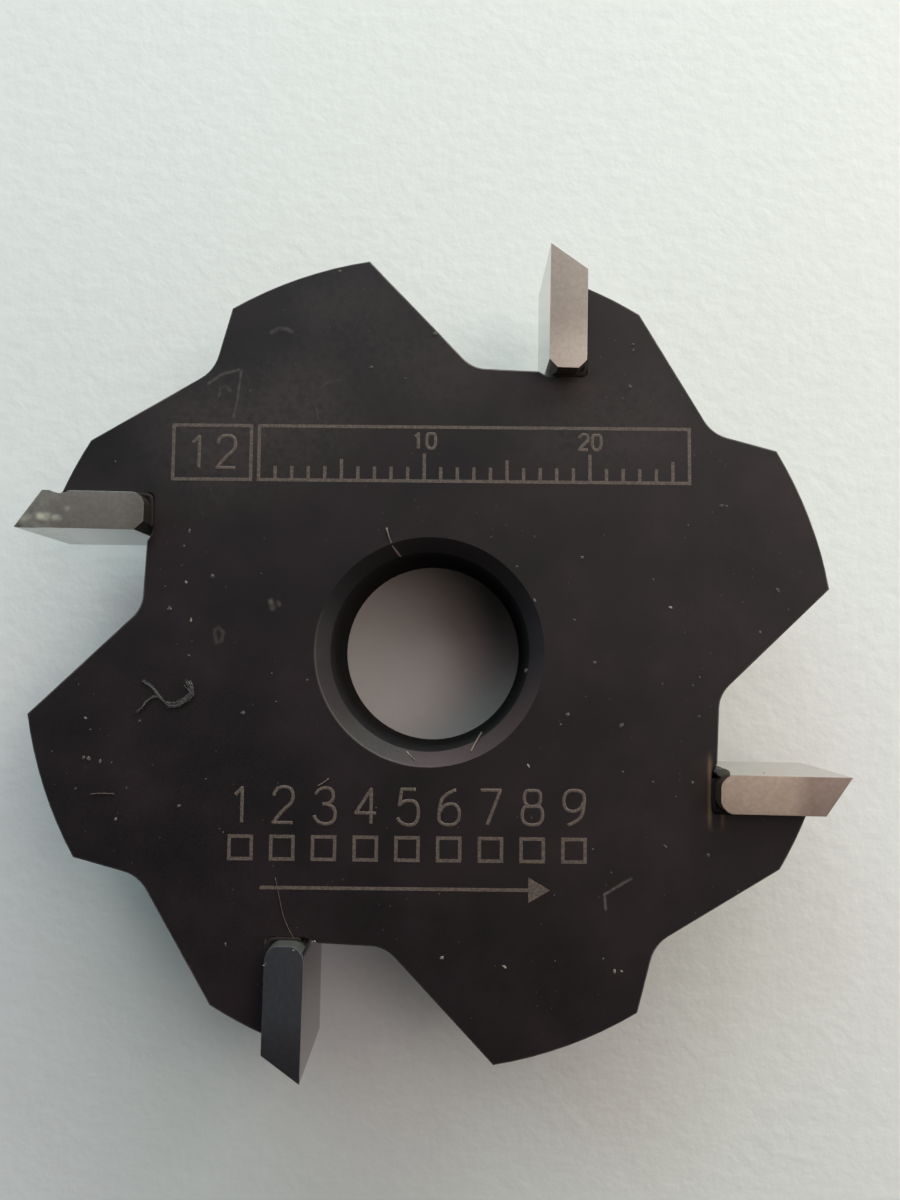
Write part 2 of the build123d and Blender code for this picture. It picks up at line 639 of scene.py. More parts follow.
@dataclass(frozen=True)
class BlackOxide:
    """Hot blackened steel: a matt brown-black skin that keeps the grain of the metal.

    The skin is thin, so it wears through to grey on sharp edges, turns brown where the
    brazing heated it, and shows every rub and every grain of dust.
    """

    colour: str = "#0E090B"
    thin_colour: str = "#21181A"
    # Painted shade: the bore wall's near-black colour stands for the shade deep in the bore
    bore_colour: str = "#040203"
    # Painted sheen: the countersink's colour on its lower right, where it faces the light
    cone_colour: str = "#352827"
    bare_colour: str = "#6E6761"
    rub_colour: str = "#7C756C"
    dust_colour: str = "#57524D"
    roughness: float = 0.55
    roughness_drift: float = 0.06
    cloud_mm: float = 4.0
    grain_mm: float = 0.12
    grain_rise_mm: float = 0.01
    grain_strength: float = 0.35
    reflectance: float = 0.3
    dust_spacing_mm: float = 0.8
    dust_share: float = 0.06
    dust_depth: float = 0.6
    patch_noise: Point = (0.3, 0.7)
    edge_noise: Point = (0.45, 0.7)
    edge_wear: float = 0.5
    edge_slope: Point = (0.707, 0.1)
    rubbed_cone: float = math.radians(-55.0)
    rubbed_rim: float = math.atan2(-3.0, -4.0)
    rubbed_side: Point = (0.5, 1.05)
    rim_line_mm: Point = (0.02, 0.09)
    rim_wear: float = 0.2
    heat: tuple[BrazingHeat, ...] = (
        BrazingHeat(1.0, 0.95, 0.75, reach_mm=1.8),
        BrazingHeat(1.0, 0.7, 0.5, "#140E0D"),
        BrazingHeat(0.5, 0.1, 0.15, "#1E1615"),
        BrazingHeat(0.4, 0.1, 0.15, "#1E1615"),
    )
    heated_middle_mm: Point = (17.05, -7.91)
    heated_half_mm: Point = (0.05, 2.1)
    heat_fade_mm: Point = (-0.7, 0.4)
    heat_ripple_mm: float = 0.5
    heat_inward_mm: float = 0.8
    zone_places: tuple[float, ...] = (0.08, 0.2, 0.31, 0.42, 1.0)
    # The black zone's colours: burnt skin and flux, and partly painted shade beside each proud tip
    burnt_colours: tuple[str, str] = ("#050303", "#0A0605")
    brown_colour: str = "#281B17"
    faded_colour: str = "#181011"
    rubs: tuple[Rub, ...] = (
        # The first three are broad and faint and lighten the upper part of the face, where the light
        # falls: painted sheen. The rest are scratches and rubs
        Rub(((210.0, 440.0), (300.0, 410.0)), 5.0, 0.11),
        Rub(((330.0, 310.0), (440.0, 370.0)), 4.0, 0.06),
        Rub(((560.0, 430.0), (640.0, 420.0)), 4.0, 0.07),
        Rub(((208.0, 383.0), (221.0, 374.0), (238.4, 369.2)), 0.13, 0.3),
        Rub(((240.8, 370.0), (237.0, 398.0), (232.8, 416.4)), 0.13, 0.3),
        Rub(((218.4, 396.0), (220.0, 388.0), (225.0, 385.5), (229.6, 390.0)), 0.16, 0.22),
        Rub(((271.0, 332.0), (278.0, 328.0), (286.0, 328.0), (291.0, 331.0)), 0.16, 0.25),
        Rub(((321.6, 386.0), (330.0, 380.0), (339.0, 379.0)), 0.14, 0.17),
        Rub(((630.7, 878.0), (604.0, 894.0), (605.3, 908.7)), 0.1, 0.45),
        Rub(((316.0, 407.6), (317.6, 418.0)), 0.1, 0.25),
        Rub(((814.5, 525.0), (823.0, 555.0), (828.5, 587.0)), 0.08, 0.6),
        Rub(
            (
                (214.0, 630.0), (218.5, 627.0), (223.0, 632.0), (221.0, 640.0), (216.0, 642.0),
                (214.0, 630.0),
            ),
            0.14, 0.2,
        ),
        Rub(((270.5, 601.0), (272.0, 607.0)), 0.22, 0.4),
        Rub(((277.5, 601.5), (279.0, 604.0)), 0.16, 0.25),
    )

    def heated(self, add: Adder, place: Socket, ripple: Socket, skin: Socket) -> Socket:
        """Lays the colours of the brazing heat, and painted shade, around each tip over the skin.

        Args:
            add: adds a node to the material.
            place: the object coordinates.
            ripple: noise that makes the edges of the zones uneven.
            skin: the colour so far.

        Returns:
            The colour with the heat in it.
        """
        middle = Vector((*self.heated_middle_mm, 0.0)) * MM
        half = Vector((*self.heated_half_mm, NO_LIMIT_MM)) * MM
        fade_ends = tuple(end * MM for end in self.heat_fade_mm)
        inner_ends = (0.0, self.heat_inward_mm * MM)
        for tooth, heat in enumerate(self.heat):
            turn = (0.0, 0.0, -math.radians(tooth * QUARTER_TURN))
            from_heat = add("Mapping", {"Vector": place, "Rotation": turn, "Location": -middle})
            sideways = add("VectorMath", (from_heat,), operation="ABSOLUTE")
            beyond = add("VectorMath", (sideways, half), operation="SUBTRACT")
            outside = add("VectorMath", (beyond, (0.0, 0.0, 0.0)), operation="MAXIMUM")
            apart = add("VectorMath", (outside,), "Value", operation="LENGTH")
            uneven = add("Math", (ripple, self.heat_ripple_mm * MM, apart), operation="MULTIPLY_ADD")
            past_end = add("SeparateXYZ", (beyond,), "Y")
            outward = add("SeparateXYZ", (from_heat,), "X")
            inward = add("MapRange", {"Value": outward, FROM: inner_ends, TO: (1.0, 0.0)}, **SMOOTH)
            fade = add("MapRange", {"Value": past_end, FROM: fade_ends, TO: (inward, 0.0)}, **SMOOTH)
            share = add("Math", (uneven, heat.reach_mm * MM), operation="DIVIDE")
            colours = (*self.burnt_colours, heat.tint, self.brown_colour, self.faded_colour)
            depths = (heat.black, heat.black, heat.straw, heat.brown, 0.0)
            zone_colours = (linear(colour, depth) for colour, depth in zip(colours, depths))
            zones = add("ValToRGB", (share,), stops=list(zip(self.zone_places, zone_colours)))
            depth = zones.node.outputs["Alpha"]
            strength = add("Math", (depth, fade), operation="MULTIPLY")
            skin = add("Mix", {MIX: (strength, skin, zones)}, **BLEND)
        return skin

    def on_side(self, add: Adder, flat: Socket, angle: float) -> Socket:
        """Finds how far a place near the bore lies to one side of it.

        Args:
            add: adds a node to the material.
            flat: the place, seen from above.
            angle: the side, seen from above, in radians from X.

        Returns:
            None to one.
        """
        per_bore = Vector((math.cos(angle), math.sin(angle), 0.0)) / (BORE_RADIUS * MM)
        reach = add("VectorMath", (flat, per_bore), "Value", operation="DOT_PRODUCT")
        return add("MapRange", {"Value": reach, FROM: self.rubbed_side}, **SMOOTH)

    def material(self, camera: PhotoCamera) -> Material:
        """Makes the material.

        Args:
            camera: gives the places of the rubs.

        Returns:
            The material.
        """
        material, add, shader, place = start_material("black_oxide_steel")
        normal = add("NewGeometry", output="True Normal")
        facing = add("SeparateXYZ", (normal,), "Z")
        clouds, grain = (
            add("TexNoise", {"Vector": place, "Scale": scale_of(size), "Detail": detail})
            for size, detail in ((self.cloud_mm, 5.0), (self.grain_mm, 2.0))
        )
        patches = add("MapRange", {"Value": clouds, FROM: self.patch_noise})
        skin = add("Mix", {MIX: (patches, linear(self.colour), linear(self.thin_colour))}, **BLEND)
        skin = self.heated(add, place, clouds, skin)
        flat = add("VectorMath", (place, (1.0, 1.0, 0.0)), operation="MULTIPLY")
        radius = add("VectorMath", (flat,), "Value", operation="LENGTH")
        rim = BORE_RADIUS + COUNTERSINK_WIDTH

        # The bore wall is coloured darkest and made fully rough: painted shade in the deep bore
        in_bore = add("Math", (radius, (BORE_RADIUS + WALL_MARGIN) * MM), operation="LESS_THAN")

        # The countersink is lighter on its lower right, the side that faces the light: painted sheen
        cone_middle, cone_half = BORE_RADIUS + COUNTERSINK_WIDTH / 2, COUNTERSINK_WIDTH / 2
        in_cone = add("Math", (radius, cone_middle * MM, cone_half * MM), operation="COMPARE")
        cone_sheen = add(
            "Math", (in_cone, self.on_side(add, flat, self.rubbed_cone)), operation="MULTIPLY"
        )

        # A worn edge shows bare metal: its facets slope, and only outside the countersink
        slope = add("Math", (facing, *self.edge_slope), operation="COMPARE")
        outside = add("Math", (radius, (rim + RIM_MARGIN) * MM), operation="GREATER_THAN")
        edge = add("Math", (slope, outside), operation="MULTIPLY")
        patchy = add(
            "MapRange", {"Value": clouds, FROM: self.edge_noise, "To Max": self.edge_wear}, **SMOOTH
        )
        bare_edge = add("Math", (edge, patchy), operation="MULTIPLY")

        # The countersink's rim gets a thin light line on its lower left: worn, and partly a painted edge
        # highlight
        off_rim = add("Math", (radius, rim * MM), operation="SUBTRACT")
        from_rim = add("Math", (off_rim,), operation="ABSOLUTE")
        line = tuple(width * MM for width in self.rim_line_mm)
        rim_line = add("MapRange", {"Value": from_rim, FROM: line, TO: (self.rim_wear, 0.0)}, **SMOOTH)
        rim_wear_and_highlight_line = add(
            "Math", (rim_line, self.on_side(add, flat, self.rubbed_rim)), operation="MULTIPLY"
        )
        # Scratches and rubs, broad painted sheen on the upper face, and the rim line
        rubs = rubbed_share(add, place, self.rubs, camera.on_top)
        rubs_and_sheen = add("Math", (rim_wear_and_highlight_line, rubs), operation="MAXIMUM")

        # Fine dust settles on whatever faces up
        grains = add("TexVoronoi", {"Vector": place, "Scale": scale_of(self.dust_spacing_mm)})
        fade = (self.dust_share / 2, self.dust_share)
        dots = add("MapRange", {"Value": grains, FROM: fade, TO: (self.dust_depth, 0.0)})
        upward = add("Math", (facing, FACING_UP), operation="GREATER_THAN")
        dust = add("Math", (dots, upward), operation="MULTIPLY")

        for share, colour in (
            (in_bore, self.bore_colour), (cone_sheen, self.cone_colour), (bare_edge, self.bare_colour),
            (rubs_and_sheen, self.rub_colour), (dust, self.dust_colour),
        ):
            skin = add("Mix", {MIX: (share, skin, linear(colour))}, **BLEND)
        spread = (self.roughness - self.roughness_drift, self.roughness + self.roughness_drift)
        rough = add("MapRange", {"Value": grain, FROM: self.patch_noise, TO: spread})
        rough_in_bore = add("Math", (rough, in_bore), operation="MAXIMUM")
        rise = self.grain_rise_mm * MM
        bump = add("Bump", {"Height": grain, "Strength": self.grain_strength, "Distance": rise})
        feed(shader, {
            "Base Color": skin, "Roughness": rough_in_bore, "Normal": bump,
            "Specular IOR Level": self.reflectance,
        })
        return material


@dataclass(frozen=True)
class GroundCarbide:
    """Tungsten carbide, sintered and ground with a diamond wheel.

    It is a hard grey metal with a soft sheen and faint lines along the tip. Heat leaves
    brown cross streaks at the inner end, and resin from the work stains the outer end.
    """

    number: int
    # These colours differ from tip to tip as painted reflection: one carbide, coloured by what each
    # tip's faces mirror
    colour: str
    worn_colour: str
    rake_colour: str
    worn_from_mm: float = 17.5
    worn_to_mm: float = 20.5
    streak_colour: str = "#8A7A66"
    resin_colour: str = "#73716A"
    sintered_colour: str = "#565954"
    sintered_facing: float = 0.6
    rake_facing: float = 0.6
    pale_stain: str = "#B4B09D"
    dark_stain: str = "#3B3A34"
    pale_stains: tuple[Rub, ...] = ()
    dark_stains: tuple[Rub, ...] = ()
    roughness: float = 0.3
    rake_roughness: float = 0.12
    dull_roughness: float = 0.55
    line_mm: float = 0.05
    line_length_mm: float = 2.0
    pit_mm: float = 0.25
    line_rise_mm: float = 0.004
    line_strength: float = 0.015
    line_noise: Point = (0.3, 0.7)
    mottle: float = 0.16
    roughness_drift: float = 0.02
    streak_mm: float = 0.7
    streak_slant: float = math.radians(-35.0)
    streak_stretch: float = 2.5
    streak_noise: Point = (0.35, 0.7)
    streaks: float = 0.0
    resin: float = 0.0
    resin_mm: float = 0.6
    resin_noise: Point = (0.35, 0.75)
    resin_drift: Point = (-0.35, 0.35)
    resin_sheen: float = 0.2
    tip_end_mm: float = 24.4
    resin_reach_mm: float = 3.2

    def material(self, camera: PhotoCamera) -> Material:
        """Makes the material.

        Args:
            camera: gives the places of the stains.

        Returns:
            The material.
        """
        material, add, shader, place = start_material(f"ground_carbide_{self.number}")
        turn = math.radians((self.number - 1) * QUARTER_TURN)
        along_tip = add("Mapping", {"Vector": place, "Rotation": (0.0, 0.0, -turn)})
        reach = add("SeparateXYZ", (along_tip,), "X")
        stretch = (self.line_mm / self.line_length_mm, 1.0, 1.0)
        drawn_out = add("VectorMath", (along_tip, stretch), operation="MULTIPLY")
        slant, stretch = (0.0, 0.0, self.streak_slant), (1.0, self.streak_stretch, 1.0)
        slanted = add(
            "Mapping", {"Vector": along_tip, "Rotation": slant, "Scale": stretch}, vector_type="TEXTURE"
        )
        lines, pits, bands, blots = (
            add("TexNoise", {"Vector": vector, "Scale": scale_of(size), "Detail": detail})
            for vector, size, detail in (
                (drawn_out, self.line_mm, 2.0), (place, self.pit_mm, 4.0),
                (slanted, self.streak_mm, 2.0), (place, self.resin_mm, 4.0),
            )
        )
        # Towards the outer end the ground faces take another colour
        outer_ends = (self.worn_from_mm * MM, self.worn_to_mm * MM)
        outer_share = add("MapRange", {"Value": reach, FROM: outer_ends}, **SMOOTH)
        metal = add("Mix", {MIX: (outer_share, linear(self.colour), linear(self.worn_colour))}, **BLEND)

        # Fine pits of the sintered grain make the ground faces faintly mottled
        mottled = add("MapRange", {"Value": pits, FROM: self.line_noise, TO: (1 - self.mottle, 1.0)})
        metal = add("VectorMath", {0: metal, "Scale": mottled}, operation="SCALE")

        # Tan streaks slant over the tip where the brazing heated it
        streaked = add(
            "MapRange", {"Value": bands, FROM: self.streak_noise, "To Max": self.streaks}, **SMOOTH
        )

        # Resin bakes on in blots near the cutting end
        resin_ends = ((self.tip_end_mm - self.resin_reach_mm) * MM, self.tip_end_mm * MM)
        near_end = add("MapRange", {"Value": reach, FROM: resin_ends, TO: self.resin_drift})
        spread = add("Math", (blots, near_end), operation="ADD")
        stained = add(
            "MapRange", {"Value": spread, FROM: self.resin_noise, "To Max": self.resin}, **SMOOTH
        )
        for share, colour in ((streaked, self.streak_colour), (stained, self.resin_colour)):
            metal = add("Mix", {MIX: (share, metal, linear(colour))}, **BLEND)
        bare = add("MapRange", {"Value": stained, TO: (1.0, self.resin_sheen)})

        # The rake face is ground last and finest, so it mirrors the floor; its colour per tip is a
        # painted reflection. The inner end was never ground, so it is still dark and dull from the
        # sintering, and its colour per tip is partly painted reflection
        normal = add("NewGeometry", output="True Normal")
        special = []
        for direction, least, colour, roughness in (
            (turn + math.pi / 2, self.rake_facing, self.rake_colour, self.rake_roughness),
            (turn + math.pi, self.sintered_facing, self.sintered_colour, self.dull_roughness),
        ):
            outward = (math.cos(direction), math.sin(direction), 0.0)
            towards = add("VectorMath", (normal, outward), "Value", operation="DOT_PRODUCT")
            share = add("Math", (towards, least), operation="GREATER_THAN")
            special.append((share, colour, roughness))
        for rubs, colour in (
            (self.dark_stains, self.dark_stain), (self.pale_stains, self.pale_stain)
        ):
            if rubs:
                share = rubbed_share(add, place, rubs, lambda pixel: camera.on_plane(pixel, TIP_TOP))
                special.append((share, colour, self.dull_roughness))
                bare = add("MapRange", {"Value": share, TO: (bare, 0.0)})
        spread = (self.roughness - self.roughness_drift, self.roughness + self.roughness_drift)
        rough = add("MapRange", {"Value": lines, FROM: self.line_noise, TO: spread})
        for share, colour, roughness in special:
            metal = add("Mix", {MIX: (share, metal, linear(colour))}, **BLEND)
            rough = add("MapRange", {"Value": share, TO: (rough, roughness)})
        rise = self.line_rise_mm * MM
        bump = add("Bump", {"Height": lines, "Strength": self.line_strength, "Distance": rise})
        feed(shader, {"Base Color": metal, "Roughness": rough, "Metallic": bare, "Normal": bump})
        return material


@dataclass(frozen=True)
class SilverSolder:
    """Silver solder as it came from the flame: dull, dark with flux and painted shade, pale only in
    spots.
    """

    name: str = "fluxed_and_shaded_solder"
    # Near black: flux, and partly painted shade in the narrow gaps beside each tip
    colour: str = "#201918"
    cleaner_colour: str = "#231E1C"
    clean_colour: str = "#4A443C"
    wiped_from_mm: float = 14.0
    roughness: float = 0.85
    spot_mm: float = 0.5
    spot_noise: Point = (0.64, 0.8)
    spot_share: float = 0.6
    spot_rise_mm: float = 0.03
    spot_strength: float = 0.3
    reflectance: float = 0.2

    def material(self) -> Material:
        """Makes the material.

        Returns:
            The material.
        """
        material, add, shader, place = start_material(self.name)
        spots = add("TexNoise", {"Vector": place, "Scale": scale_of(self.spot_mm), "Detail": 3.0})
        clean = add(
            "MapRange", {"Value": spots, FROM: self.spot_noise, "To Max": self.spot_share}, **SMOOTH
        )
        # The third tooth was wiped after the brazing, so its solder is greyer
        across = add("SeparateXYZ", (place,), "X")
        wiped = add("Math", (across, -self.wiped_from_mm * MM), operation="LESS_THAN")
        colour = linear(self.colour)
        for share, over in ((wiped, self.cleaner_colour), (clean, self.clean_colour)):
            colour = add("Mix", {MIX: (share, colour, linear(over))}, **BLEND)
        rise = self.spot_rise_mm * MM
        bump = add("Bump", {"Height": spots, "Strength": self.spot_strength, "Distance": rise})
        feed(shader, {
            "Base Color": colour, "Metallic": clean, "Normal": bump, "Roughness": self.roughness,
            "Specular IOR Level": self.reflectance,
        })
        return material


@dataclass(frozen=True)
class SpeckledMatt:
    """A matt finish with fine light and dark grains, as etched steel, dust and lint have."""

    name: str
    colour: str
    dark_colour: str
    grain_mm: float = 0.1
    roughness: float = 0.8
    grain_noise: Point = (0.35, 0.65)

    def material(self) -> Material:
        """Makes the material.

        Returns:
            The material.
        """
        material, add, shader, place = start_material(self.name)
        grain = add("TexNoise", {"Vector": place, "Scale": scale_of(self.grain_mm), "Detail": 3.0})
        share = add("MapRange", {"Value": grain, FROM: self.grain_noise})
        colour = add("Mix", {MIX: (share, linear(self.dark_colour), linear(self.colour))}, **BLEND)
        feed(shader, {"Base Color": colour, "Roughness": self.roughness})
        return material


class InnerCorners(Enum):
    """How the two corners at a tip's inner end were finished before it was brazed in."""

    CHAMFERED = "chamfered"
    ROUNDED = "rounded"
    BACK_ROUNDED = "back corner rounded"


@dataclass(frozen=True)
class CarbideTip:
    """One brazed carbide tip, with broken edges, its own inner corners and its damage.

    Places on it are given as on the first tip, which points along X.
    """

    number: int
    inner_corners: InnerCorners
    finish: GroundCarbide
    chipped: bool = False
    edge_break_mm: float = 0.018
    corner_rounding_mm: float = 0.24
    corner_depth_mm: float = 0.6
    chip_radius_mm: float = 1.0
    chip_depth_mm: float = 0.18
    chip_height: float = 2.6
    chip_place_mm: Triple = (21.98, -9.038, 11.37)
    chip_roughness_mm: float = 0.012
    upright_within_mm: float = 0.1
    flat_within: float = math.radians(1.0)
    broken_from: float = math.radians(30.0)
    smooth_below: float = math.radians(35.0)

    def node(self) -> str:
        """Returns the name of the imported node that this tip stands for."""
        return f"carbide_tip_{self.number}"

    def turn(self) -> Matrix:
        """Returns the rotation from the first tip to this one."""
        return Matrix.Rotation(math.radians((self.number - 1) * QUARTER_TURN), 3, "Z")

    def copy_solid(self) -> Piece:
        """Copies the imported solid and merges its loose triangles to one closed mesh.

        Returns:
            The copy, with flat faces of several corners.
        """
        packed = frame["nodes"][self.node()]
        piece = bpy.data.objects.new(f"ground_tip_{self.number}", packed.data.copy())
        bpy.context.scene.collection.objects.link(piece)
        select_only(piece)
        bpy.ops.mesh.customdata_custom_splitnormals_clear()
        with edit_mode():
            bpy.ops.mesh.remove_doubles(threshold=MERGE_WITHIN_MM * MM)
            bpy.ops.mesh.dissolve_limited(angle_limit=self.flat_within)
            bpy.ops.mesh.normals_make_consistent(inside=False)
        return piece

    def round_corners(self, piece: Piece) -> None:
        """Rounds the upright edges at the inner end.

        Args:
            piece: the tip's mesh.
        """
        back_to_first = self.turn().inverted()
        on_first = [back_to_first @ corner.co for corner in piece.data.vertices]
        limit = min(place.x for place in on_first) + self.corner_depth_mm * MM
        middle = (min(place.y for place in on_first) + max(place.y for place in on_first)) / 2
        back_only = self.inner_corners is InnerCorners.BACK_ROUNDED

        def upright_at_inner_end(start: Vector, end: Vector) -> bool:
            """Tests an edge.

            Args:
                start: one end of it, in metres.
                end: the other end.

            Returns:
                Whether it stands upright near the inner end.
            """
            upright = (start - end).xy.length < self.upright_within_mm * MM
            place = back_to_first @ start
            return upright and place.x < limit and (place.y < middle or not back_only)

        select_edges(piece, upright_at_inner_end)
        with edit_mode(everything=False):
            bpy.ops.mesh.bevel(offset=self.corner_rounding_mm * MM, segments=4)

    def knock_chip(self, piece: Piece) -> None:
        """Breaks a shell-shaped chip out of the back edge of the upper side.

        Args:
            piece: the tip's mesh.
        """
        stand_off = Vector((0.0, self.chip_depth_mm - self.chip_radius_mm, 0.0))
        centre = self.turn() @ (Vector(self.chip_place_mm) + stand_off) * MM
        radius = self.chip_radius_mm * MM
        lump = add_primitive("ico_sphere", subdivisions=5, radius=radius, location=centre)
        with edit_mode():
            bpy.ops.transform.resize(value=(1.0, 1.0, self.chip_height))
            bpy.ops.transform.vertex_random(offset=self.chip_roughness_mm * MM, seed=3)
            bpy.ops.mesh.vertices_smooth(factor=0.5)
        apply_modifier(piece, "BOOLEAN", operation="DIFFERENCE", solver="EXACT", object=lump)
        bpy.data.objects.remove(lump)

    def build(self, camera: PhotoCamera) -> Piece:
        """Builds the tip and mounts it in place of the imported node.

        Args:
            camera: gives the places of its stains.

        Returns:
            The tip's object.
        """
        piece = self.copy_solid()
        if self.inner_corners is not InnerCorners.CHAMFERED:
            self.round_corners(piece)
        apply_modifier(
            piece, "BEVEL", width=self.edge_break_mm * MM, segments=2, limit_method="ANGLE",
            angle_limit=self.broken_from,
        )
        if self.chipped:
            self.knock_chip(piece)
        select_only(piece)
        bpy.ops.object.shade_smooth_by_angle(angle=self.smooth_below)
        apply_modifier(piece, "WEIGHTED_NORMAL", keep_sharp=True, weight=100)
        return mount_on_cutter(piece, "carbide", self.finish.material(camera), self.node())


@dataclass(frozen=True)
class SolderBeads:
    """Solder that stands in the corner between each tip and the body, on both sides."""

    route_mm: tuple[Point, ...] = (
        (22.15, -9.1), (20.8, -9.12), (19.2, -9.09), (17.7, -9.12), (16.98, -9.05),
        (16.92, -8.3), (16.93, -7.1),
    )
    heights_mm: Point = (MARKED_FACE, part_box("braze_seam_1")[0].z / MM)
    width_mm: float = 0.33
    flatness: float = 0.45
    unevenness_mm: float = 0.06
    fill_mm: Point = (17.3, -6.78)
    fill_width_mm: float = 0.54
    fill_stretch: float = 1.6
    fill_inset_mm: float = 0.3
    fill_climb_mm: float = 0.45
    fill_taper: float = 0.92
    fill_drift_mm: tuple[float, ...] = (0.0, 0.04, -0.03, 0.05, 0.0)
    fill_lean_mm: float = 0.04
    fill_smooth_below: float = math.radians(40.0)

    def bead(self) -> Piece:
        """Models the bead of the first tooth at height zero: lumpy, as it froze.

        Returns:
            The bead.
        """
        piece = tube([Vector((*point, 0.0)) * MM for point in self.route_mm], self.width_mm, 2)
        with edit_mode():
            bpy.ops.transform.vertex_random(offset=self.unevenness_mm * MM, seed=11)
            bpy.ops.mesh.vertices_smooth(factor=0.5, repeat=3)
            bpy.ops.transform.resize(value=(1.0, 1.0, self.flatness))
            bpy.ops.mesh.normals_make_consistent(inside=False)
        bpy.ops.object.shade_smooth()
        return piece

    def corner_fill(self, material: Material) -> Piece:
        """Fills the corner between the first tip and its gullet, where solder ran down.

        Args:
            material: the cleaner solder.

        Returns:
            The piece.
        """
        low = self.heights_mm[1] + self.fill_inset_mm
        rise = self.heights_mm[0] - low
        across, along = self.fill_mm
        last = len(self.fill_drift_mm) - 1
        points = [
            Vector((across, along + drift, low + rise * step / last)) * MM
            for step, drift in enumerate(self.fill_drift_mm)
        ]
        points.append(points[-1] + Vector((self.fill_lean_mm, 0.0, self.fill_climb_mm)) * MM)
        piece = tube(points, self.fill_width_mm, 3)
        with edit_mode():
            bpy.ops.transform.resize(value=(self.fill_stretch, 1.0, 1.0))
        for corner in piece.data.vertices:
            corner.select = corner.co.z > (MARKED_FACE + self.fill_climb_mm / 2) * MM
        with edit_mode(everything=False):
            bpy.ops.transform.resize(value=(self.fill_taper, self.fill_taper, 1.0))
        bpy.ops.object.shade_smooth_by_angle(angle=self.fill_smooth_below)
        return mount_on_cutter(join([piece], "solder_corner_fill"), "filler_metal", material)

    def build(self, material: Material) -> Piece:
        """Builds all beads as one piece.

        Args:
            material: the solder.

        Returns:
            The piece.
        """
        pattern = self.bead()
        beads = []
        for tooth in range(TOOTH_COUNT):
            for height in self.heights_mm:
                bead = copy_of(pattern)
                bead.rotation_euler.z = math.radians(tooth * QUARTER_TURN)
                bead.location.z = height * MM
                beads.append(bead)
        bpy.data.objects.remove(pattern)
        return mount_on_cutter(join(beads, "solder_beads"), "filler_metal", material)


def straight(*points: Point) -> tuple[Point, ...]:
    """Returns the points of a stroke, each corner named twice so that it stays sharp."""
    return tuple(point for point in points for _ in range(2))


# Strokes of each digit, on a field 0.6 wide and 1 high
DIGIT_STROKES: dict[str, tuple[tuple[Point, ...], ...]] = {
    "0": (((0.3, 1.0), (0.0, 1.0), (0.0, 0.0), (0.6, 0.0), (0.6, 1.0), (0.3, 1.0)),),
    "1": (straight((0.12, 0.8), (0.32, 1.0), (0.32, 0.0)),),
    "2": (
        ((0.03, 0.76), (0.06, 1.03), (0.56, 1.05), (0.62, 0.62), (0.3, 0.36), (0.02, 0.0), (0.02, 0.0),
         (0.6, 0.0)),
    ),
    "3": (
        ((0.04, 0.82), (0.1, 1.02), (0.56, 1.02), (0.56, 0.55), (0.24, 0.55)),
        ((0.24, 0.55), (0.62, 0.55), (0.62, -0.02), (0.08, -0.03), (0.0, 0.22)),
    ),
    "4": (straight((0.45, 0.0), (0.45, 1.0), (0.0, 0.3), (0.6, 0.3)),),
    "5": (
        ((0.54, 1.0), (0.12, 1.0), (0.12, 1.0), (0.06, 0.54), (0.06, 0.54), (0.2, 0.68), (0.62, 0.66),
         (0.62, -0.03), (0.1, -0.04), (0.0, 0.18)),
    ),
    "6": (
        ((0.5, 1.0), (0.1, 0.86), (0.0, 0.4), (0.0, -0.02), (0.6, -0.02), (0.6, 0.58), (0.12, 0.6),
         (0.03, 0.34)),
    ),
    "7": (straight((0.0, 1.0), (0.58, 1.0), (0.2, 0.0)),),
    "8": (
        ((0.3, 1.0), (0.06, 1.0), (0.06, 0.54), (0.54, 0.54), (0.54, 1.0), (0.3, 1.0)),
        ((0.3, 0.54), (0.0, 0.54), (0.0, 0.0), (0.6, 0.0), (0.6, 0.54), (0.3, 0.54)),
    ),
    "9": (
        ((0.1, 0.0), (0.5, 0.14), (0.6, 0.6), (0.6, 1.02), (0.0, 1.02), (0.0, 0.42), (0.48, 0.4),
         (0.57, 0.66)),
    ),
}


